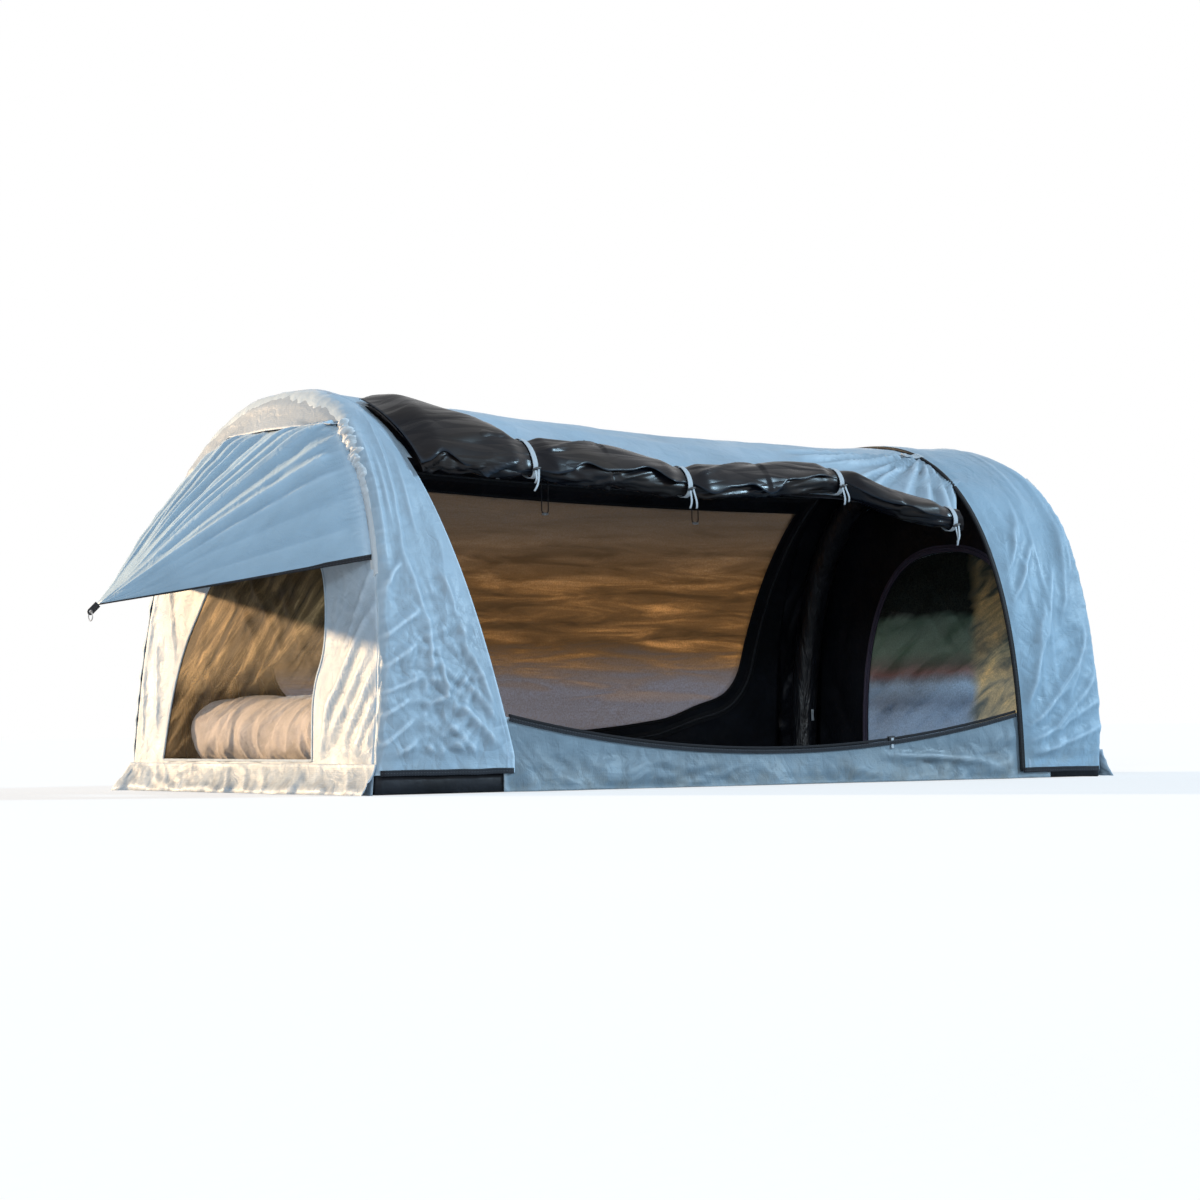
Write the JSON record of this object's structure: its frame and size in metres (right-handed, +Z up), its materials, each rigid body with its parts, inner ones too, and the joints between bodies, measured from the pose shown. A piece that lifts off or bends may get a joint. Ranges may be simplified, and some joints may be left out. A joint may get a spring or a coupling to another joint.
{
  "type": "inflatable tent",
  "caption": "Low inflatable tent with silver covers over air arches, side doors rolled up, D-shaped mesh door, end windows under pleated awnings, mat and bolster inside.",
  "frame": {"origin": "centre of the groundsheet's underside, on the ground", "axes": "+X from the head end (tall arch, bolster) to the foot end, +Z up, the open doorway at -Y"},
  "size_m": [3.0466, 1.2108, 0.9696],
  "materials": {
    "silver_fabric": "coated silver ripstop fabric",
    "black_lining": "black coated lining",
    "insect_mesh": "fine bronze insect mesh",
    "air_tube": "black woven sleeve over an air bladder",
    "ground_fabric": "black coated groundsheet cloth",
    "webbing": "pale grey webbing",
    "zip": "black coil zip",
    "valve_plastic": "moulded dark plastic",
    "bedding": "soft grey quilted cloth",
    "steel": "plain steel wire"
  },
  "bodies": {
    "tent": {"head_cover": "silver_fabric", "head_end_wall": "silver_fabric", "head_cap_flap": "silver_fabric", "head_skirt": "silver_fabric", "head_window_mesh": "insect_mesh", "head_window_zip": "zip", "head_air_beam": "air_tube", "head_valve": "valve_plastic", "foot_cover": "silver_fabric", "foot_end_wall": "silver_fabric", "foot_cap_flap": "silver_fabric", "foot_skirt": "silver_fabric", "foot_window_mesh": "insect_mesh", "foot_window_zip": "zip", "foot_air_beam": "air_tube", "foot_valve": "valve_plastic", "groundsheet": "ground_fabric", "sleeping_mat": "ground_fabric", "bolster": "bedding", "foot_edge_piping": "black_lining", "near_door_roll": "black_lining", "far_door_roll": "black_lining", "roof_panel": "silver_fabric", "near_sill_panel": "silver_fabric", "far_door_panel": "silver_fabric", "far_door_mesh": "insect_mesh", "far_door_zip": "zip", "near_zip_track": "zip", "ridge_tab": "webbing", "near_tie_1": "webbing", "near_tie_2": "webbing", "near_tie_3": "webbing", "near_tie_4": "webbing", "far_tie_1": "webbing", "far_tie_2": "webbing", "far_tie_3": "webbing", "far_tie_4": "webbing"},
    "head_awning": {"head_awning": "silver_fabric", "head_awning_tab": "black_lining"},
    "foot_awning": {"foot_awning": "silver_fabric", "foot_awning_tab": "black_lining"},
    "head_ring": {"head_awning_ring": "steel"},
    "foot_ring": {"foot_awning_ring": "steel"},
    "head_pin": {"head_valve_pin": "webbing"},
    "foot_pin": {"foot_valve_pin": "webbing"},
    "head_cap": {"head_valve_cap": "valve_plastic"},
    "foot_cap": {"foot_valve_cap": "valve_plastic"},
    "zip_slider": {"near_zip_slider": "zip"},
    "zip_pull": {"near_zip_pull": "webbing"},
    "loop_1": {"far_loop_1": "webbing"},
    "loop_2": {"far_loop_2": "webbing"},
    "loop_3": {"far_loop_3": "webbing"},
    "sleeve_pull": {"foot_sleeve_pull": "webbing"}
  },
  "joints": [
    {"name": "head_awning_hinge", "type": "hinge", "parent": "tent", "child": "head_awning", "pos_m": [-1.02291, 0, 0.862], "axis": [0, 1, 0], "range_deg": [0, 40]},
    {"name": "foot_awning_hinge", "type": "hinge", "parent": "tent", "child": "foot_awning", "pos_m": [1.0979, 0, 0.795], "axis": [0, -1, 0], "range_deg": [0, 40]},
    {"name": "head_ring_swing", "type": "hinge", "parent": "head_awning", "child": "head_ring", "pos_m": [-1.49223, 0, 0.42508], "axis": [0, 1, 0], "range_deg": [-60, 60]},
    {"name": "foot_ring_swing", "type": "hinge", "parent": "foot_awning", "child": "foot_ring", "pos_m": [1.53839, 0, 0.39123], "axis": [0, 1, 0], "range_deg": [-60, 60]},
    {"name": "head_pin_press", "type": "slide", "parent": "tent", "child": "head_pin", "axis": [0, -0.9937, 0.1123], "range_m": [0, 0.003], "stiffness_N_per_m": 150},
    {"name": "head_cap_hinge", "type": "hinge", "parent": "tent", "child": "head_cap", "pos_m": [-0.9295, -0.4881, 0.31206], "axis": [1, 0, 0], "range_deg": [0, 150]},
    {"name": "foot_pin_press", "type": "slide", "parent": "tent", "child": "foot_pin", "axis": [0, -0.9925, 0.1224], "range_m": [0, 0.003], "stiffness_N_per_m": 150},
    {"name": "foot_cap_hinge", "type": "hinge", "parent": "tent", "child": "foot_cap", "pos_m": [1.03, -0.4893, 0.31151], "axis": [1, 0, 0], "range_deg": [0, 150]},
    {"name": "zip_slide", "type": "hinge", "parent": "tent", "child": "zip_slider", "pos_m": [0.045, -0.5935, 3.685], "axis": [0, 1, 0], "range_deg": [-5.8, 17]},
    {"name": "zip_pull_swing", "type": "hinge", "parent": "zip_slider", "child": "zip_pull", "pos_m": [0.3943, -0.59875, 0.10922], "axis": [-1, 0, 0], "range_deg": [0, 100]},
    {"name": "loop_1_swing", "type": "hinge", "parent": "tent", "child": "loop_1", "pos_m": [-0.505, 0.2925, 0.85265], "axis": [1, 0, 0], "range_deg": [-40, 40]},
    {"name": "loop_2_swing", "type": "hinge", "parent": "tent", "child": "loop_2", "pos_m": [-0.035, 0.2925, 0.82899], "axis": [1, 0, 0], "range_deg": [-40, 40]},
    {"name": "loop_3_swing", "type": "hinge", "parent": "tent", "child": "loop_3", "pos_m": [0.455, 0.2925, 0.8162], "axis": [1, 0, 0], "range_deg": [-40, 40]},
    {"name": "sleeve_pull_swing", "type": "hinge", "parent": "tent", "child": "sleeve_pull", "pos_m": [1.03, 0.51601, 0.185], "axis": [-1, 0, 0], "range_deg": [0, 90]}
  ]
}
